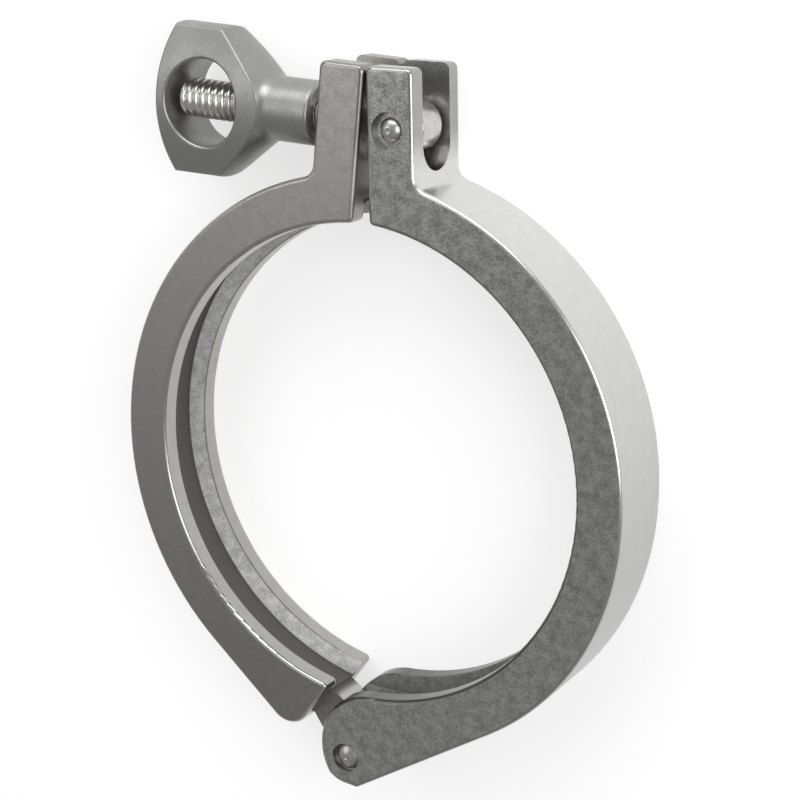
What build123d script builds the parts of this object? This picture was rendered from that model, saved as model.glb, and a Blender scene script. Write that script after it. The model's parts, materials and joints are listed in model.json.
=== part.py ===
from build123d import *
import os
from math import asin, atan2, cos, degrees, hypot, radians, sin, sqrt, tan

# Sanitary hinged clamp for a 119 mm ferrule flange, lying flat on its back face.
# +Z runs along the bore towards the front face, +Y towards the lugs, +X towards the forked half.
# The origin is the centre of the forked half's bore, half way through its width. Millimetres.

# ---- ring -------------------------------------------------------------------------------------
flange_r = 59.5             # flange of the ferrules that the clamp holds
flange_gap = 1.4            # edge of the flange to the floor of the groove
lip_cover = 2.7             # how far the groove's lips reach in past the flange's edge
rim_t = 6.9                 # floor of the groove to the outside of both castings
ring_width = 20.8           # both castings, along the bore
groove_mouth = 12.0         # between the lips
flank_angle = 20.0          # of each groove flank, as on the ferrules
edge_r = 1.0                # cast rounding of the long edges
mouth_r = 1.2               # rounded corners where the closing and end faces meet the lips

# ---- rivets -----------------------------------------------------------------------------------
rivet_r = 2.4
hinge_head_lip = 0.95       # each head's radius, over the shank's
bolt_head_lip = 0.35
rivet_head_h = 1.4
rivet_sink = 0.05           # top of the head, below the casting's face
hinge_recess_gap = 0.2      # round each head, in its recess
bolt_recess_gap = 1.3
running_gap = 0.08          # radial, where a casting or the eye turns on its rivet

# ---- hinge ------------------------------------------------------------------------------------
hinge_x = -1.1              # hinge pin axis
hinge_drop = 6.0            # below the outside of the ring
boss_wall = 4.7             # clevis ears, round the pin
arm_drop = 1.3              # the arm's outside is struck from this far below the bore's centre
toe_out = 2.8               # blunt toe under the clevis, where the arm's straight edge ends:
toe_drop = 6.5              # its centre, from the hinge pin axis
toe_r = 0.8
clevis_shoulder_r = 14.7    # round top of the clevis ears
clevis_reach = 15.0         # pin axis to the end wall of the clevis slot
tongue_t = 8.4              # left half's tongue
tongue_side_gap = 0.2       # between the tongue and each clevis ear
tongue_wall = 4.42          # of the tongue's eye
tongue_shoulder_r = 4.3     # round top of the tongue, beside the end face
tongue_shoulder_out = 2.5   # its centre, out from the end face
tongue_inset = 0.6          # top of the tongue's root, below the floor of the groove
heel_angle = -127.0         # where the left half's outside leaves the circle, straight for the heel
heel_r = 6.0                # rounded corner of the heel
end_face_x = -6.85          # where the left half's end face meets the lips
end_face_angle = -121.0     # direction of the end face, from the lips to the heel

# ---- lugs -------------------------------------------------------------------------------------
lug_height = 23.3           # both lugs, above the outside of the ring
lug_corner_r = 1.6
lug_foot_r = 3.4            # between each lug's back and the ring
closing_draft = 1.9         # slope of the faces that meet when the clamp closes
right_face_x = 3.7          # closing face of each half, at the top of its lug
left_face_x = -5.2
right_lug_t = 11.7          # thickness of each lug at its top
left_lug_t = 11.3
fork_gap = 11.9             # right lug: slot for the bolt's eye
fork_floor_up = 0.5         # lowest point of the fork's round floor, above the ring
notch_side_gap = 0.6        # left lug: each side of the bolt's shank in its notch
notch_floor_up = 1.0        # lowest point of the notch, above the ring
tip_gap = 0.3               # between the lug tips when the clamp is shut with nothing in it

# ---- bolt and nut -----------------------------------------------------------------------------
bolt_pin_drop = 13.5        # bolt pin axis, below the lugs' top, in the middle of the right lug
bolt_r = 4.6
bolt_past_hole = 8.85       # end of the bolt, past the centre of the wing's hole
bolt_tilt = 2.2             # the bolt rests with its end a little high
bolt_end_r = 1.6
eye_wall = 3.22
eye_side_gap = 1.15         # between the eye and each ear of the fork
eye_edge_r = 1.8
nut_back_off = 5.45         # nut's near end, out from the back of the left lug's top
thread_gap = 0.05           # radial, between the bolt and the nut's bore
barrel_wall = 2.7
barrel_length = 11.0        # straight part of the barrel
neck_r = 4.0                # hollow corner between the barrel and the cone
cone_angle = 38.0           # the cone widens to the wing at this angle from the bolt's axis
shoulder_r = 2.0            # rounded corner between the cone and the wing
wing_hole_r = 10.0
wing_hole_run = 3.8         # wing's shoulder to the hole's centre
wing_side_wall = 7.4        # hole to the wing's edge, at the shoulder
wing_crown_wall = 3.3       # hole to the crown of the wing
wing_corner_drop = 3.8      # crown of the wing back to its outer corners
wing_rise = 0.2             # the wing's edge rises by this much towards its outer corner
wing_t = 15.8               # between the two faces, along the bolt
wing_edge_t = 8.2           # and at the wing's edges, since both faces are a little convex
nut_edge_r = 1.0
wing_face_edge_r = 0.6      # round each of its faces
wing_hole_edge_r = 0.6      # round both mouths of the hole

# ---- how far shapes run on --------------------------------------------------------------------
past = 5.0                  # a cutting shape, past what it cuts
into = 3.0                  # a joined shape, into what it joins

# ---- what follows from these ------------------------------------------------------------------
lip_r = flange_r - lip_cover
groove_r = flange_r + flange_gap
ring_outer_r = groove_r + rim_t
half_width = ring_width / 2
hinge_head_r = rivet_r + hinge_head_lip
bolt_head_r = rivet_r + bolt_head_lip
pin_eye_r = rivet_r + running_gap
hinge_y = -ring_outer_r - hinge_drop
boss_r = rivet_r + boss_wall
tongue_eye_r = pin_eye_r + tongue_wall
end_face_y = -sqrt(lip_r ** 2 - end_face_x ** 2)
lug_top = ring_outer_r + lug_height
fork_floor = ring_outer_r + fork_floor_up
notch_gap = 2 * (bolt_r + notch_side_gap)
notch_floor = ring_outer_r + notch_floor_up
right_mid_x = right_face_x + right_lug_t / 2
bolt_pin_y = lug_top - bolt_pin_drop
eye_r = pin_eye_r + eye_wall
eye_t = fork_gap - 2 * eye_side_gap
nut_bore_r = bolt_r + thread_gap
barrel_r = nut_bore_r + barrel_wall
wing_half = wing_hole_r + wing_side_wall    # half of the wing's height, at its shoulder
neck_run = neck_r * sin(radians(cone_angle))
neck_half = barrel_r + neck_r * (1 - cos(radians(cone_angle)))
cone_run = (wing_half - neck_half) / tan(radians(cone_angle))
wing_root = barrel_length + neck_run + cone_run     # these run from the nut's near end
wing_hole_at = wing_root + wing_hole_run
wing_length = wing_hole_at + wing_hole_r + wing_crown_wall
wing_top = wing_length - wing_corner_drop
nut_start = right_lug_t / 2 + tip_gap + left_lug_t + nut_back_off
bolt_length = nut_start + wing_hole_at + bolt_past_hole
HINGE = (hinge_x, hinge_y)
BOLT_PIN = (right_mid_x, bolt_pin_y)


def block(x0, x1, y0, y1, z0, z1):
    """A box between two corners."""
    return Pos((x0 + x1) / 2, (y0 + y1) / 2, (z0 + z1) / 2) * Box(x1 - x0, y1 - y0, z1 - z0)


def disc(centre, radius):
    return Pos(*centre) * Circle(radius)


def outline(*points):
    """A flat face through the points."""
    return make_face(Polyline(*points, close=True))


def polar(radius, angle):
    """A point at an angle in degrees."""
    return radius * cos(radians(angle)), radius * sin(radians(angle))


def closing_x(face_x, side, y):
    """Closing face at height y: it leans away from the other half towards the bore."""
    return face_x + side * (lug_top - y) * tan(radians(closing_draft))


def lug_outline(face_x, side, thickness):
    """A lug, from its top down into the ring: side is +1 on the right and -1 on the left."""
    foot = lip_r - past
    back_x = face_x + side * thickness
    return outline((face_x, lug_top), (back_x, lug_top), (closing_x(back_x, side, foot), foot),
                   (closing_x(face_x, side, foot), foot))


def clevis_centre():
    """Centre of the clevis shoulder: its arc is tangent to the lip circle and flush with the boss."""
    x = hinge_x - boss_r + clevis_shoulder_r
    return x, -sqrt((lip_r + clevis_shoulder_r) ** 2 - x ** 2)


def round_corners(face, points, radius):
    """Rounds the corners of a flat face that lie nearest to the points."""
    corners = [face.vertices().sort_by_distance(Vector(*p))[0] for p in points]
    return fillet(corners, radius)


def lug_corners(face_x, side, thickness):
    """Top corners of a lug, and the point where its back meets the ring."""
    back_x = face_x + side * thickness
    foot_y = sqrt(ring_outer_r ** 2 - back_x ** 2)
    return [(face_x, lug_top), (back_x, lug_top)], (closing_x(back_x, side, foot_y), foot_y)


def mouth_corner(face_x, side):
    """Where a closing face meets the lips."""
    y = sqrt(lip_r ** 2 - closing_x(face_x, side, lip_r) ** 2)
    return closing_x(face_x, side, y), y


def casting(face):
    """The flat outline at full width, with its long edges rounded."""
    solid = extrude(Pos(0, 0, -half_width) * face, ring_width)
    ends = [solid.faces().sort_by(Axis.Z)[i] for i in (0, -1)]
    edges = [e for f in ends for e in f.outer_wire().edges()]
    return fillet(edges, edge_r)


def groove():
    """The V groove as a solid of revolution, from inside the lips to the groove's floor."""
    inner = lip_r - past
    mouth = groove_mouth / 2
    rise = tan(radians(flank_angle))
    floor = mouth - (groove_r - lip_r) * rise
    wide = mouth + (lip_r - inner) * rise
    face = make_face(Polyline((inner, 0, -wide), (groove_r, 0, -floor), (groove_r, 0, floor),
                              (inner, 0, wide), close=True))
    return revolve(face, Axis.Z)


def slot_along_x(x0, x1, floor_y, gap):
    """An open-topped slot along X with a round floor."""
    centre_y = floor_y + gap / 2
    floor = Pos((x0 + x1) / 2, centre_y, 0) * Rot(0, 90, 0) * Cylinder(gap / 2, x1 - x0)
    return floor + block(x0, x1, centre_y, lug_top + past, -gap / 2, gap / 2)


def rivet_seats(centre, recess_r):
    """Pin bore through a casting, with a round recess for the head in both faces."""
    depth = rivet_head_h + rivet_sink
    seats = Pos(*centre) * Cylinder(rivet_r, ring_width + 2 * past)
    for side in (-1, 1):
        seats += Pos(*centre, side * (half_width - depth / 2)) * Cylinder(recess_r, depth)
    return seats


def right_half():
    """Forked half: ring, lug with two ears, and the arm with the clevis."""
    cx, cy = clevis_centre()
    far = 2 * ring_outer_r
    toe = (hinge_x + toe_out, hinge_y - toe_drop)
    arm = make_hull(Circle(ring_outer_r).edges() + disc((0, -arm_drop), ring_outer_r).edges()
                    + disc(HINGE, boss_r).edges() + disc(toe, toe_r).edges())
    foot_x = closing_x(right_face_x, 1, 0)
    side = outline((closing_x(right_face_x, 1, lug_top), lug_top), (far, lug_top), (far, -far),
                   (cx, -far), (cx, 0), (foot_x, 0))
    face = arm & (side + disc((cx, cy), clevis_shoulder_r))
    face += lug_outline(right_face_x, 1, right_lug_t)
    face -= Circle(lip_r)
    tops, foot = lug_corners(right_face_x, 1, right_lug_t)
    face = round_corners(face, tops, lug_corner_r)
    face = round_corners(face, [foot], lug_foot_r)
    face = round_corners(face, [mouth_corner(right_face_x, 1)], mouth_r)
    solid = casting(face) - groove()
    back_x = right_face_x + right_lug_t + lug_foot_r
    solid -= slot_along_x(right_face_x - past, back_x + past, fork_floor, fork_gap)
    slot = tongue_t / 2 + tongue_side_gap
    solid -= block(-far, hinge_x + clevis_reach, -far, past - lip_r, -slot, slot)
    solid -= rivet_seats(HINGE, hinge_head_r + hinge_recess_gap)
    solid -= rivet_seats(BOLT_PIN, bolt_head_r + bolt_recess_gap)
    return solid


def end_point(distance):
    """A point on the left half's end face, measured from the lips towards the heel."""
    dx, dy = polar(distance, end_face_angle)
    return end_face_x + dx, end_face_y + dy


def heel():
    """Where the straight outside of the left half would meet its end face, as a distance along it."""
    normal = polar(1, heel_angle)
    dx, dy = polar(1, end_face_angle)
    start = end_face_x * normal[0] + end_face_y * normal[1]
    return (ring_outer_r - start) / (dx * normal[0] + dy * normal[1])


def left_half():
    """Notched half, in the place where its groove is concentric with the other half's."""
    far = 2 * ring_outer_r
    reach = heel()
    corner = end_point(reach)
    inner = end_point(-2 * past)
    face = Circle(ring_outer_r) + outline((0, 0), polar(ring_outer_r, heel_angle), corner, inner)
    side = outline((left_face_x, lug_top), (-far, lug_top), (-far, -far), end_point(far), inner,
                   (closing_x(left_face_x, -1, 0), 0))
    face = face & side
    face += lug_outline(left_face_x, -1, left_lug_t)
    face -= Circle(lip_r)
    tops, foot = lug_corners(left_face_x, -1, left_lug_t)
    face = round_corners(face, tops, lug_corner_r)
    face = round_corners(face, [foot], lug_foot_r)
    face = round_corners(face, [corner], heel_r)
    face = round_corners(face, [mouth_corner(left_face_x, -1), end_point(0)], mouth_r)
    solid = casting(face) + tongue(reach) - groove()
    back_x = left_face_x - left_lug_t - lug_foot_r
    return solid - slot_along_x(back_x - past, left_face_x + past, notch_floor, notch_gap)


def tongue(reach):
    """Flat tongue from the end face to an eye that turns on the hinge pin."""
    shoulder = end_point(groove_r - lip_r + tongue_inset + tongue_shoulder_r)
    out = polar(tongue_shoulder_out, end_face_angle + 90)
    crown = disc((shoulder[0] + out[0], shoulder[1] + out[1]), tongue_shoulder_r)
    inside = polar(into, end_face_angle - 90)
    roots = [end_point(groove_r - lip_r + tongue_inset), end_point(reach - heel_r)]
    root = outline(*roots, *[(x + inside[0], y + inside[1]) for x, y in reversed(roots)])
    flat = make_hull(disc(HINGE, tongue_eye_r).edges() + crown.edges() + root.edges())
    return extrude(flat - disc(HINGE, pin_eye_r), tongue_t / 2, both=True)


def closed_angle():
    """Turn of the left half about the hinge pin that brings the lug tips together."""
    dx, dy = left_face_x - hinge_x, lug_top - hinge_y
    reach = hypot(dx, dy)
    return degrees(asin((right_face_x - tip_gap - hinge_x) / reach) - atan2(dx, dy))


def close_left(solid):
    """Swings the left half shut about the hinge pin."""
    hinge = Pos(hinge_x, hinge_y, 0)
    return hinge * Rot(0, 0, -closed_angle()) * hinge.inverse() * solid


def rivet(centre, head_r):
    """Rivet with a low domed head at both ends, each in its recess."""
    floor = half_width - rivet_sink - rivet_head_h
    top = half_width - rivet_sink
    profile = (Line((0, 0), (rivet_r, 0)) + Line((rivet_r, 0), (rivet_r, floor))
               + Line((rivet_r, floor), (head_r, floor))
               + ThreePointArc((head_r, floor), dome_point(head_r, floor, top), (0, top))
               + Line((0, top), (0, 0)))
    half = revolve(Rot(90, 0, 0) * make_face(profile), Axis.Z)
    return Pos(*centre, 0) * (half + mirror(half, Plane.XY))


def dome_point(head_r, floor, top):
    """A point half way along the arc of a rivet's dome."""
    rise = top - floor
    radius = (head_r ** 2 + rise ** 2) / (2 * rise)
    angle = asin(head_r / radius) / 2
    return radius * sin(angle), top - radius + radius * cos(angle)


def along_bolt(solid):
    """Puts a piece that was made along +X, with the pin at 0, in its place along the bolt."""
    return Pos(*BOLT_PIN, 0) * Rot(0, 0, 180 - bolt_tilt) * solid


def eyebolt():
    """Round eye and shank, along +X from the pin axis."""
    eye = Cylinder(eye_r, eye_t)
    eye = fillet(eye.edges(), eye_edge_r)
    shank = Pos(bolt_length / 2, 0, 0) * Rot(0, 90, 0) * Cylinder(bolt_r, bolt_length)
    shank = fillet(shank.edges().sort_by(Axis.X)[-1], bolt_end_r)
    return along_bolt(eye + shank - Cylinder(pin_eye_r, eye_t + 2 * past))


def wing_silhouette():
    """Half of the nut's outline, above its axis, along +X from its near end."""
    corner = wing_half + wing_rise
    crown_r = (corner ** 2 + (wing_length - wing_top) ** 2) / (2 * (wing_length - wing_top))
    angle = asin(corner / crown_r) / 2
    crown = (wing_length - crown_r + crown_r * cos(angle), crown_r * sin(angle))
    neck_end = (barrel_length + neck_run, neck_half)
    neck = TangentArc((barrel_length, barrel_r), neck_end, tangent=(1, 0))
    straights = Polyline(neck_end, (wing_root, wing_half), (wing_top, corner))
    end = ThreePointArc((wing_top, corner), crown, (wing_length, 0))
    axis = Polyline((wing_length, 0), (0, 0), (0, barrel_r), (barrel_length, barrel_r))
    return round_corners(make_face(neck + straights + end + axis), [(wing_root, wing_half)], shoulder_r)


def hole_mouth(edge):
    """Whether an edge runs round a mouth of the wing's hole."""
    points = [edge @ t for t in (0, 0.3, 0.6, 1)]
    return all(abs(hypot(p.X - wing_hole_at, p.Y) - wing_hole_r) < 1e-4 for p in points)


def wing_section():
    """What the wing is cut down to: its two convex faces, run out along the bolt."""
    edge = wing_half + wing_rise
    drop = (wing_t - wing_edge_t) / 2
    face_r = (edge ** 2 + drop ** 2) / (2 * drop)
    centre = wing_t / 2 - face_r
    lens = Pos(0, centre) * Circle(face_r) & Pos(0, -centre) * Circle(face_r)
    return Pos(-past, 0, 0) * extrude(Plane.YZ * lens, wing_length + 2 * past)


def wing_nut():
    """Turned body with two convex faces and a cross hole, on the bolt's thread."""
    body = revolve(wing_silhouette(), Axis.X)
    body = fillet(body.edges().sort_by(Axis.X)[0], nut_edge_r)
    body = body & wing_section()
    wing_faces = [body.faces().sort_by(Axis.Z)[i] for i in (0, -1)]
    body = fillet([e for f in wing_faces for e in f.edges()], wing_face_edge_r)
    body -= Pos(wing_hole_at, 0, 0) * Cylinder(wing_hole_r, 2 * wing_half)
    body = fillet([e for e in body.edges() if hole_mouth(e)], wing_hole_edge_r)
    body -= Pos(wing_hole_at / 2, 0, 0) * Rot(0, 90, 0) * Cylinder(nut_bore_r, wing_hole_at)
    return along_bolt(Pos(nut_start, 0, 0) * body)


os.makedirs("parts", exist_ok=True)
pieces = {
    "right_half": right_half(),
    "left_half": close_left(left_half()),
    "hinge_pin": rivet(HINGE, hinge_head_r),
    "bolt_pin": rivet(BOLT_PIN, bolt_head_r),
    "eyebolt": eyebolt(),
    "wing_nut": wing_nut(),
}
for name, solid in pieces.items():
    export_step(solid, f"parts/{name}.step")
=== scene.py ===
import bpy, bmesh, json, math
from functools import partial
from mathutils import Matrix, Vector


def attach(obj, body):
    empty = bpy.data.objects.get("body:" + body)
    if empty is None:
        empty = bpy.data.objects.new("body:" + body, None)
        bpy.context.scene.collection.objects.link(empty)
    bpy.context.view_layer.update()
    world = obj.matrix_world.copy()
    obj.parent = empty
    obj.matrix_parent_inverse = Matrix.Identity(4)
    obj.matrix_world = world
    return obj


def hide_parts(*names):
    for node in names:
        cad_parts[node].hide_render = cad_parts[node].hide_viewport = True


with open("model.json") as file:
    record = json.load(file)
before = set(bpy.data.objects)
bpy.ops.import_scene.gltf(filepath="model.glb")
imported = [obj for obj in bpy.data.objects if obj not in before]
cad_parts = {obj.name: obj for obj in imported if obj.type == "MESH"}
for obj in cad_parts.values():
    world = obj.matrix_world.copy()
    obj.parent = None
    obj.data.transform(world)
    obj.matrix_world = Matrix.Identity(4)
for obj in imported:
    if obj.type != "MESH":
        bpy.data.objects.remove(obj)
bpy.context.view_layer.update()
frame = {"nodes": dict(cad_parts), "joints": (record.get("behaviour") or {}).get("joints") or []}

MM = 0.001
HALF_WIDTH = 10.4 * MM      # of both castings, along the bore
GROOVE_R = 60.9 * MM        # floor of the groove, from the centre of each half
GROOVE_SIDE = 6.2 * MM      # from the middle plane to the mouth's edge
LIP_R = 56.8 * MM
LUG_FOOT = 68 * MM          # where the lugs rise from the ring
LUG_RISE = 10 * MM          # over which the lug's sides turn darker, as painted shade
TOP, BOTTOM = 75 * MM, -85 * MM     # heights between which a casting's colours change, as painted light and shade
LEFT_CENTRE = (3.845 * MM, -0.158 * MM, 0)

PITCH = 1.88 * MM           # bolt's thread
THREAD_DEPTH = 0.9 * MM
ROWS_PER_TURN = 14
BOLT_R = 4.6 * MM
BOLT_LENGTH = 60.8 * MM     # pin axis to the end of the thread
BOLT_END_R = 1.6 * MM
THREAD_START = 14 * MM      # from the pin axis
THREAD_STOP = 0.3 * MM      # before the bolt's end
EYE_CUT = 7 * MM            # where the CAD eye is cut off, inside the turned shank
SHANK_OVERLAP = 1 * MM      # by which the turned shank starts inside the eye

RIVET_R = 2.4 * MM
HINGE_HEAD_R = 3.35 * MM
BOLT_HEAD_R = 2.75 * MM
HEAD_H = 1.4 * MM
HEAD_SINK = 0.05 * MM       # top of each head, below the casting's face
DIMPLE_R = 0.6 * MM         # left in each dome by the riveting tool
DIMPLE_DEPTH = 0.18 * MM

TABLE_HALF = 3.0
TABLE_GAP = 0.02 * MM
CAMERA_BACK, CAMERA_RIGHT, CAMERA_UP = 423.1 * MM, 6.33 * MM, 12.96 * MM
CAMERA_AZIMUTH, CAMERA_ELEVATION, CAMERA_ROLL = 30.488, 16.292, 0.505
FILM, FOCAL = 36.0, 81.495


# ---- small helpers ----------------------------------------------------------------------------
def linear(code):
    """An sRGB hex colour as linear RGBA."""
    parts = [int(code[i:i + 2], 16) / 255 for i in (1, 3, 5)]
    return [p / 12.92 if p <= 0.04045 else ((p + 0.055) / 1.055) ** 2.4 for p in parts] + [1.0]


def add(tree, kind, sockets=None, **settings):
    """Adds a node. A socket takes a value, an output, or a node, which gives its first output."""
    node = tree.nodes.new(kind)
    for name, value in settings.items():
        setattr(node, name, value)
    for key, value in (sockets or {}).items():
        if isinstance(value, bpy.types.Node):
            value = value.outputs[0]
        if isinstance(value, bpy.types.NodeSocket):
            tree.links.new(value, node.inputs[key])
        else:
            node.inputs[key].default_value = value
    return node


def empty_material(name):
    """A material with no nodes, and the function that adds one to it."""
    mat = bpy.data.materials.new(name)
    mat.use_nodes = True
    mat.node_tree.nodes.clear()
    return mat, partial(add, mat.node_tree)


def linked(name, data):
    """An object for some data, in the scene."""
    piece = bpy.data.objects.new(name, data)
    bpy.context.scene.collection.objects.link(piece)
    return piece


def per(size_mm):
    """Texture scale at which a pattern's spots are about this many millimetres apart."""
    return 1000.0 / size_mm


def joint(name):
    """A joint of the frame, by its name."""
    return next(j for j in frame["joints"] if j["name"] == name)


# ---- steel ------------------------------------------------------------------------------------
COLOUR_A, COLOUR_B, COLOUR_OUT = 6, 7, 2        # of a Mix node set to colours


def tone(code_pair):
    """A darker and a lighter colour, as linear values."""
    return [linear(code) for code in code_pair]


def cast_finish(node, place, patterns, plain, bump, casting):
    """What a casting has off its flat faces. Returns its colour, roughness, bump and metallic.

    Those sides have their own colours and roughness, and so do the lips. The groove about the
    casting's centre is rough on its flanks, and its floor is painted dark as painted shade. Towards
    the hinge, faces and sides change to a share of their colour as painted light and shade, and the
    lug's sides are painted darker than the ring's, as painted shade.
    """
    speckle, blotch = patterns
    face, rough = plain
    own = node("ShaderNodeVectorMath", {0: place.outputs["Object"], 1: casting["centre"]},
               operation="SUBTRACT")
    x, y, z = node("ShaderNodeSeparateXYZ", {0: own}).outputs
    across = node("ShaderNodeMath", {0: x, 1: 2.0}, operation="POWER")
    upward = node("ShaderNodeMath", {0: y, 1: 2.0}, operation="POWER")
    square = node("ShaderNodeMath", {0: across, 1: upward}, operation="ADD")
    reach = node("ShaderNodeMath", {0: square}, operation="SQRT")
    depth = node("ShaderNodeMath", {0: z}, operation="ABSOLUTE")
    facing = node("ShaderNodeSeparateXYZ", {0: place.outputs["Normal"]}).outputs["Z"]
    flat = node("ShaderNodeMath", {0: facing}, operation="ABSOLUTE")
    part = {}
    for name, value, start, end, first, last in (
            ("off_face", flat, 0.99, 0.955, 0.0, 1.0),
            ("inside", reach, GROOVE_R + 1.5 * MM, GROOVE_R + 0.5 * MM, 0.0, 1.0),
            ("past_lip", reach, LIP_R + 0.1 * MM, LIP_R + 0.5 * MM, 0.0, 1.0),
            ("in_mouth", depth, GROOVE_SIDE, GROOVE_SIDE - 0.3 * MM, 0.0, 1.0),
            ("deep", reach, GROOVE_R - 0.5 * MM, GROOVE_R - 0.1 * MM, 0.0, 1.0),
            # Painted shade on the lug's sides; the next two ranges paint light and shade that change
            # with height.
            ("lug_painted_shade", y, LUG_FOOT, LUG_FOOT + LUG_RISE, 1.0, 0.56),
            ("face_painted_shading", y, BOTTOM, TOP, casting["face_painted_shading"], 1.0),
            ("side_painted_shading", y, BOTTOM, TOP, casting["side_painted_shading"], 1.0)):
        part[name] = node("ShaderNodeMapRange", {
            "Value": value, "From Min": start, "From Max": end, "To Min": first, "To Max": last},
            interpolation_type="SMOOTHSTEP")
    mouth = node("ShaderNodeMath", {0: part["inside"], 1: part["in_mouth"]}, operation="MULTIPLY")
    groove = node("ShaderNodeMath", {0: part["past_lip"], 1: mouth}, operation="MULTIPLY")
    # The groove's floor, painted dark as painted shade.
    floor_painted_shade = node("ShaderNodeMath", {0: groove, 1: part["deep"]}, operation="MULTIPLY")

    colour = {}
    for name, pattern in (("sides", blotch), ("lips", blotch), ("flanks", speckle)):
        darker, lighter = tone(casting[name])
        colour[name] = node("ShaderNodeMix", {"Factor": pattern, COLOUR_A: darker,
                                              COLOUR_B: lighter},
                            data_type="RGBA").outputs[COLOUR_OUT]
    # The lug's sides, painted darker as painted shade.
    side = node("ShaderNodeVectorMath", {0: colour["sides"], "Scale": part["lug_painted_shade"]},
                operation="SCALE").outputs[0]
    for share, other in ((part["inside"], colour["lips"]), (groove, colour["flanks"])):
        side = node("ShaderNodeMix", {"Factor": share, COLOUR_A: side, COLOUR_B: other},
                    data_type="RGBA").outputs[COLOUR_OUT]
    # Sides painted lighter or darker with height, as painted light and shade.
    side = node("ShaderNodeVectorMath", {0: side, "Scale": part["side_painted_shading"]}, operation="SCALE")
    # The groove's floor painted dark, as painted shade.
    side = node("ShaderNodeMix", {"Factor": floor_painted_shade, COLOUR_A: side,
                                  COLOUR_B: linear(casting["floor"])},
                data_type="RGBA").outputs[COLOUR_OUT]
    # Faces painted lighter or darker with height, as painted light and shade.
    face = node("ShaderNodeVectorMath", {0: face, "Scale": part["face_painted_shading"]}, operation="SCALE")
    whole = node("ShaderNodeMix", {"Factor": part["off_face"], COLOUR_A: face, COLOUR_B: side},
                 data_type="RGBA").outputs[COLOUR_OUT]

    side_rough = node("ShaderNodeMath", {0: groove, 1: 0.3, 2: casting["roughness"]},
                      operation="MULTIPLY_ADD")
    change = node("ShaderNodeMath", {0: side_rough, 1: rough}, operation="SUBTRACT")
    rough = node("ShaderNodeMath", {0: part["off_face"], 1: change, 2: rough},
                 operation="MULTIPLY_ADD")
    no_groove = node("ShaderNodeMath", {0: 1.0, 1: groove}, operation="SUBTRACT")
    smooth = node("ShaderNodeMath", {0: part["off_face"], 1: no_groove}, operation="MULTIPLY")
    strength = node("ShaderNodeMapRange", {"Value": smooth, "To Min": bump, "To Max": bump * 0.1},
                    interpolation_type="SMOOTHSTEP")
    metallic = node("ShaderNodeMath", {0: groove, 1: -0.5, 2: 1.0}, operation="MULTIPLY_ADD")
    return whole, rough, strength, metallic


def steel(name, colours, grain_mm, blotch_mm, roughness, bump, casting=None):
    """Stainless steel whose grain and blotches run from the darker colour to the lighter."""
    mat, node = empty_material(name)
    place = node("ShaderNodeTexCoord")
    grain, blotch = [
        node("ShaderNodeTexNoise", {"Vector": place.outputs["Object"], "Scale": per(size_mm),
                                    "Detail": detail, "Roughness": 0.6})
        for size_mm, detail in ((grain_mm, 3.0), (blotch_mm, 4.0))]
    half_blotch = node("ShaderNodeMath", {0: blotch, 1: 0.5}, operation="MULTIPLY")
    mottle = node("ShaderNodeMath", {0: grain, 1: 0.5, 2: half_blotch}, operation="MULTIPLY_ADD")
    spread = node("ShaderNodeMapRange", {"Value": mottle, "From Min": 0.36, "From Max": 0.64},
                  interpolation_type="SMOOTHSTEP")
    darker, lighter = tone(colours)
    colour = node("ShaderNodeMix", {"Factor": spread, COLOUR_A: darker, COLOUR_B: lighter},
                  data_type="RGBA").outputs[COLOUR_OUT]
    rough = node("ShaderNodeMapRange", {"Value": spread, "To Min": roughness + 0.05,
                                        "To Max": roughness - 0.05},
                 interpolation_type="SMOOTHSTEP")
    strength, metallic = bump, 1.0
    if casting:
        colour, rough, strength, metallic = cast_finish(
            node, place, (spread, blotch), (colour, rough), bump, casting)
    relief = node("ShaderNodeBump", {"Height": grain, "Strength": strength,
                                     "Distance": 0.25 * grain_mm * MM})
    shader = node("ShaderNodeBsdfPrincipled", {"Base Color": colour, "Roughness": rough,
                                               "Metallic": metallic, "Normal": relief})
    node("ShaderNodeOutputMaterial", {"Surface": shader})
    return mat


# Cast stainless steel, tumbled: a dull, finely speckled grey, with painted light that makes it a
# little lighter towards the hinge. The outside is ground to a satin; painted light and shade make
# it bright on the ring's top and duller on the lug and at the hinge, and the groove's floor dark.
right_cast = steel(
    "cast_stainless_tumbled", ("#838382", "#b4b4b2"), 0.5, 2.6, 0.36, 0.4,
    casting={"centre": (0, 0, 0), "roughness": 0.24, "face_painted_shading": 1.22, "side_painted_shading": 0.45,
             "sides": ("#cdcdcc", "#dfdfde"), "lips": ("#848483", "#999998"),
             "flanks": ("#828281", "#acacab"), "floor": "#6a6864"})
# Cast stainless steel from a warmer melt: smoother, with faint speckle; painted shade makes it
# darker at the hinge, on the lug's sides and along the groove's floor.
left_cast = steel(
    "cast_stainless_warm", ("#a5a39f", "#b7b4af"), 0.5, 2.6, 0.36, 0.2,
    casting={"centre": LEFT_CENTRE, "roughness": 0.28, "face_painted_shading": 0.72, "side_painted_shading": 1.0,
             "sides": ("#b4b3b0", "#c9c8c5"), "lips": ("#a3a29f", "#b9b8b5"),
             "flanks": ("#b4b4b2", "#e2e2e0"), "floor": "#5c5a56"})
# Cast and machined stainless steel: an even, soft satin with a faint cloud.
nut_steel = steel("machined_stainless", ("#989896", "#a2a2a0"), 0.5, 9.0, 0.42, 0.02)
# Rolled stainless steel: bright crests, slightly warm from the rolling oil.
bolt_steel = steel("rolled_stainless", ("#c2c0ba", "#d3d0ca"), 0.5, 3.0, 0.26, 0.02)
# Stainless steel upset by a tool: domes of a soft shine.
rivet_steel = steel("polished_rivet", ("#a5a4a1", "#c8c7c4"), 0.5, 2.0, 0.32, 0.05)


def dress(node, material):
    """Gives a CAD node its material."""
    mesh = frame["nodes"][node].data
    mesh.materials.clear()
    mesh.materials.append(material)


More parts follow.
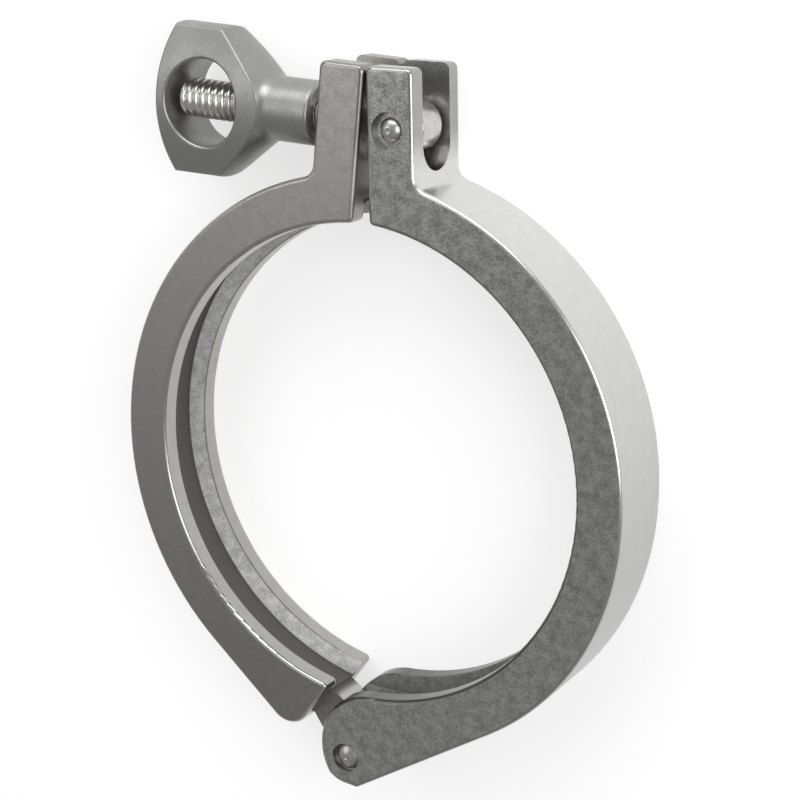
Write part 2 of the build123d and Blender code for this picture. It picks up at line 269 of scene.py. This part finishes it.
# ---- turned pieces ----------------------------------------------------------------------------
def turned(name, profile, columns):
    """A closed mesh turned about X, through (x, radius) points. Both ends lie on the axis."""
    bm = bmesh.new()
    rings = []
    for x, r in profile:
        if r == 0:
            rings.append([bm.verts.new((x, 0, 0))])
        else:
            angles = [2 * math.pi * k / columns for k in range(columns)]
            rings.append([bm.verts.new((x, r * math.cos(a), r * math.sin(a))) for a in angles])
    for one, two in zip(rings, rings[1:]):
        for k in range(columns):
            n = (k + 1) % columns
            if len(one) == 1:
                bm.faces.new((one[0], two[n], two[k]))
            elif len(two) == 1:
                bm.faces.new((one[k], one[n], two[0]))
            else:
                bm.faces.new((one[k], one[n], two[n], two[k]))
    for face in bm.faces:
        face.smooth = True
    bmesh.ops.recalc_face_normals(bm, faces=bm.faces)
    mesh = bpy.data.meshes.new(name)
    bm.to_mesh(mesh)
    bm.free()
    return linked(name, mesh)


def arc(along, out, radius, start, end, steps):
    """Points on an arc about a centre along and out from the axis, with angles in degrees."""
    turns = [math.radians(start + (end - start) * k / steps) for k in range(steps + 1)]
    return [(along + radius * math.cos(t), out + radius * math.sin(t)) for t in turns]


def made_real(piece, tree, values):
    """Runs a node tree on a piece and keeps the result as a plain mesh."""
    modifier = piece.modifiers.new(tree.name, "NODES")
    modifier.node_group = tree
    for item in tree.interface.items_tree:
        if item.in_out == "INPUT" and item.name in values:
            modifier[item.identifier] = values[item.name]
    graph = bpy.context.evaluated_depsgraph_get()
    mesh = bpy.data.meshes.new_from_object(piece.evaluated_get(graph))
    piece.modifiers.clear()
    piece.data = mesh
    return piece


def group(name, inputs):
    """A Geometry Nodes tree with named inputs. Returns it with its input and output nodes."""
    tree = bpy.data.node_groups.new(name, "GeometryNodeTree")
    tree.interface.new_socket("Geometry", in_out="INPUT", socket_type="NodeSocketGeometry")
    for label, kind in inputs:
        tree.interface.new_socket(label, in_out="INPUT", socket_type=kind)
    tree.interface.new_socket("Geometry", in_out="OUTPUT", socket_type="NodeSocketGeometry")
    return tree, tree.nodes.new("NodeGroupInput"), tree.nodes.new("NodeGroupOutput")


def thread_tree():
    """Presses a right-hand thread into a round bar along X, between a first and a last turn."""
    tree, given, result = group("rolled_thread", [
        ("Pitch", "NodeSocketFloat"), ("Depth", "NodeSocketFloat"), ("Radius", "NodeSocketFloat"),
        ("First", "NodeSocketFloat"), ("Last", "NodeSocketFloat"), ("Material", "NodeSocketMaterial")])
    size, node = given.outputs, partial(add, tree)
    x, y, z = node("ShaderNodeSeparateXYZ", {0: node("GeometryNodeInputPosition")}).outputs
    angle = node("ShaderNodeMath", {0: z, 1: y}, operation="ARCTAN2")
    turn = node("ShaderNodeMath", {0: angle, 1: 2 * math.pi}, operation="DIVIDE")
    pitches = node("ShaderNodeMath", {0: x, 1: size["Pitch"]}, operation="DIVIDE")
    past = node("ShaderNodeMath", {0: pitches, 1: turn}, operation="SUBTRACT")
    phase = node("ShaderNodeMath", {0: past}, operation="FRACT")
    swing = node("ShaderNodeMath", {0: phase, 1: math.pi}, operation="MULTIPLY")
    wave = node("ShaderNodeMath", {0: swing}, operation="SINE")
    crest = node("ShaderNodeMath", {0: wave, 1: 0.75}, operation="POWER")
    root = node("ShaderNodeMath", {0: 1.0, 1: crest}, operation="SUBTRACT")
    full = node("ShaderNodeMath", {0: size["First"], 1: size["Pitch"]}, operation="ADD")
    fading = node("ShaderNodeMath", {0: size["Last"], 1: size["Pitch"]}, operation="SUBTRACT")
    rise = node("ShaderNodeMapRange", {"Value": x, "From Min": size["First"], "From Max": full})
    fall = node("ShaderNodeMapRange", {"Value": x, "From Min": fading, "From Max": size["Last"],
                                       "To Min": 1.0, "To Max": 0.0})
    run = node("ShaderNodeMath", {0: rise, 1: fall}, operation="MULTIPLY")
    deepest = node("ShaderNodeMath", {0: size["Depth"], 1: run}, operation="MULTIPLY")
    cut = node("ShaderNodeMath", {0: root, 1: deepest}, operation="MULTIPLY")
    inward = node("ShaderNodeMath", {0: size["Radius"], 1: -1.0}, operation="MULTIPLY")
    share = node("ShaderNodeMath", {0: cut, 1: inward}, operation="DIVIDE")
    step = {axis: node("ShaderNodeMath", {0: value, 1: share}, operation="MULTIPLY")
            for axis, value in (("Y", y), ("Z", z))}
    pressed = node("GeometryNodeSetPosition", {"Geometry": size["Geometry"],
                                               "Offset": node("ShaderNodeCombineXYZ", step)})
    whole = node("GeometryNodeRealizeInstances", {"Geometry": pressed})
    coated = node("GeometryNodeSetMaterial", {"Geometry": whole, "Material": size["Material"]})
    tree.links.new(coated.outputs[0], result.inputs[0])
    return tree


# ---- eyebolt ----------------------------------------------------------------------------------
def bolt_place():
    """From the bolt's own axes, with the pin at the origin and the shank along X, to the part's."""
    pin = Vector(joint("bolt_swing")["pos_m"])
    way = Vector(joint("nut_travel")["axis"]).normalized()
    up = Vector((0, 0, 1))
    turn = Matrix((way, up.cross(way), up)).transposed().to_4x4()
    return Matrix.Translation(pin) @ turn


def eyebolt():
    """The CAD eye, and a shank with a rolled thread and a rounded end."""
    place = bolt_place()
    end = BOLT_LENGTH - BOLT_END_R
    rows = int((end - THREAD_START) / (PITCH / ROWS_PER_TURN))
    step = (end - THREAD_START) / rows
    shank_start = EYE_CUT - SHANK_OVERLAP
    profile = [(shank_start, 0), (shank_start, BOLT_R)]
    profile += [(THREAD_START + step * k, BOLT_R) for k in range(-1, rows)]
    profile += arc(end, BOLT_R - BOLT_END_R, BOLT_END_R, 90, 0, 10)
    profile += [(BOLT_LENGTH, 0)]
    bolt = turned("threaded_eyebolt", profile, 48)
    made_real(bolt, thread_tree(), {"Pitch": PITCH, "Depth": THREAD_DEPTH, "Radius": BOLT_R,
                                    "First": THREAD_START, "Last": BOLT_LENGTH - THREAD_STOP,
                                    "Material": bolt_steel})
    eye = frame["nodes"]["eyebolt"].data.copy()
    bm = bmesh.new()
    bm.from_mesh(eye)
    bmesh.ops.transform(bm, matrix=place.inverted(), verts=bm.verts)
    bmesh.ops.remove_doubles(bm, verts=bm.verts, dist=1e-6)
    cut = bmesh.ops.bisect_plane(bm, geom=bm.verts[:] + bm.edges[:] + bm.faces[:],
                                 plane_co=(EYE_CUT, 0, 0), plane_no=(1, 0, 0), clear_outer=True)
    rim = [e for e in cut["geom_cut"] if isinstance(e, bmesh.types.BMEdge)]
    bmesh.ops.contextual_create(bm, geom=rim)
    bm.from_mesh(bolt.data)
    bmesh.ops.transform(bm, matrix=place, verts=bm.verts)
    bm.to_mesh(bolt.data)
    bm.free()
    for poly in bolt.data.polygons:
        poly.use_smooth = True
        poly.material_index = 0
    bolt.data.materials.clear()
    bolt.data.materials.append(bolt_steel)
    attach(bolt, "eyebolt")
    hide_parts("eyebolt")


# ---- rivets -----------------------------------------------------------------------------------
def rivet(head_r):
    """A shank with a domed head at both ends, along X. The tool leaves a dimple in each dome."""
    foot = HALF_WIDTH - HEAD_SINK - HEAD_H
    ball = (head_r ** 2 + HEAD_H ** 2) / (2 * HEAD_H)
    centre = foot + HEAD_H - ball
    edge, end = math.degrees(math.asin(head_r / ball)), math.degrees(math.asin(DIMPLE_R / ball))
    head = [(foot, RIVET_R)] + arc(centre, 0, ball, edge, end, 14)
    top = head[-1][0]
    head += [(top - share_deep * DIMPLE_DEPTH, share_out * DIMPLE_R)
             for share_deep, share_out in ((5 / 9, 0.8), (8 / 9, 0.4), (1, 0))]
    return turned("rivet", [(-x, r) for x, r in reversed(head)] + head, 56)


def rivets():
    """The hinge's rivet and the bolt's, each in its place."""
    bm = bmesh.new()
    for name, head_r in (("clamp_hinge", HINGE_HEAD_R), ("bolt_swing", BOLT_HEAD_R)):
        piece = rivet(head_r)
        place = Matrix.Translation(joint(name)["pos_m"]) @ Matrix.Rotation(-math.pi / 2, 4, "Y")
        piece.data.transform(place)
        bm.from_mesh(piece.data)
        bpy.data.objects.remove(piece)
    mesh = bpy.data.meshes.new("upset_rivets")
    bm.to_mesh(mesh)
    bm.free()
    for poly in mesh.polygons:
        poly.use_smooth = True
    mesh.materials.append(rivet_steel)
    pair = linked("upset_rivets", mesh)
    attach(pair, "right_half")
    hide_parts("hinge_pin", "bolt_pin")


# ---- stage ------------------------------------------------------------------------------------
def table():
    """A white table under the part. A camera, or a ray off the metal, sees it lit from within."""
    mesh = bpy.data.meshes.new("table")
    z, far = -HALF_WIDTH - TABLE_GAP, TABLE_HALF
    mesh.from_pydata([(-far, -far, z), (far, -far, z), (far, far, z), (-far, far, z)], [],
                     [(0, 1, 2, 3)])
    mat, node = empty_material("white_table")
    path = node("ShaderNodeLightPath").outputs
    seen = path["Is Camera Ray"]
    for other in ("Is Glossy Ray", "Is Transmission Ray"):
        seen = node("ShaderNodeMath", {0: seen, 1: path[other]}, operation="MAXIMUM").outputs[0]
    paper = node("ShaderNodeBsdfDiffuse", {"Color": linear("#f2f2f1")})
    shade = node("ShaderNodeBsdfDiffuse", {"Color": linear("#acacac")})
    glow = node("ShaderNodeEmission", {"Color": linear("#ffffff"), "Strength": 0.66})
    lit = node("ShaderNodeAddShader", {0: shade, 1: glow})
    surface = node("ShaderNodeMixShader", {0: seen, 1: paper, 2: lit})
    node("ShaderNodeOutputMaterial", {"Surface": surface})
    mesh.materials.append(mat)
    linked("table", mesh)


def lamp(name, place, size, power):
    """A soft box at a place, facing the part, with sizes in metres and its power in watts."""
    light = bpy.data.lights.new(name, "AREA")
    light.shape = "RECTANGLE"
    light.size, light.size_y = size
    light.energy = power
    box = linked(name, light)
    box.location = place
    box.rotation_euler = Vector(place).to_track_quat("Z", "Y").to_euler()


def lights():
    """An even white room, and a soft box to the right, one above and one in front."""
    world = bpy.data.worlds.new("room")
    bpy.context.scene.world = world
    world.use_nodes = True
    tree = world.node_tree
    tree.nodes.clear()
    sky = add(tree, "ShaderNodeBackground", {"Color": linear("#ffffff"), "Strength": 0.36})
    add(tree, "ShaderNodeOutputWorld", {"Surface": sky.outputs[0]})
    lamp("right_box", (1.1, 0.25, 0.75), (0.9, 0.9), 9.0)
    lamp("top_box", (-0.1, 1.2, 0.6), (1.4, 0.7), 10.5)
    lamp("front_box", (-0.85, 0.4, 1.3), (0.9, 0.9), 3.2)


def camera():
    """Seen from the front, a little right of the bore's axis and above it."""
    azimuth, elevation, roll = [math.radians(turn) for turn in
                                (CAMERA_AZIMUTH, CAMERA_ELEVATION, CAMERA_ROLL)]
    back = Vector((math.sin(azimuth) * math.cos(elevation), math.sin(elevation),
                   math.cos(azimuth) * math.cos(elevation)))
    right = Vector((math.cos(azimuth), 0, -math.sin(azimuth)))
    up = back.cross(right)
    level = Matrix((right, up, back)).transposed() @ Matrix.Rotation(roll, 3, "Z")
    place = CAMERA_BACK * back + CAMERA_RIGHT * level.col[0] + CAMERA_UP * level.col[1]
    lens = bpy.data.cameras.new("camera")
    lens.sensor_width = FILM
    lens.lens = FOCAL
    lens.clip_start = 0.01
    eye = linked("camera", lens)
    eye.matrix_world = Matrix.Translation(place) @ level.to_4x4()
    bpy.context.scene.camera = eye


for cad_node, material in (("right_half", right_cast), ("left_half", left_cast),
                           ("wing_nut", nut_steel), ("eyebolt", bolt_steel),
                           ("hinge_pin", rivet_steel), ("bolt_pin", rivet_steel)):
    dress(cad_node, material)
eyebolt()
rivets()
table()
lights()
camera()
bpy.context.scene.view_settings.view_transform = "Standard"
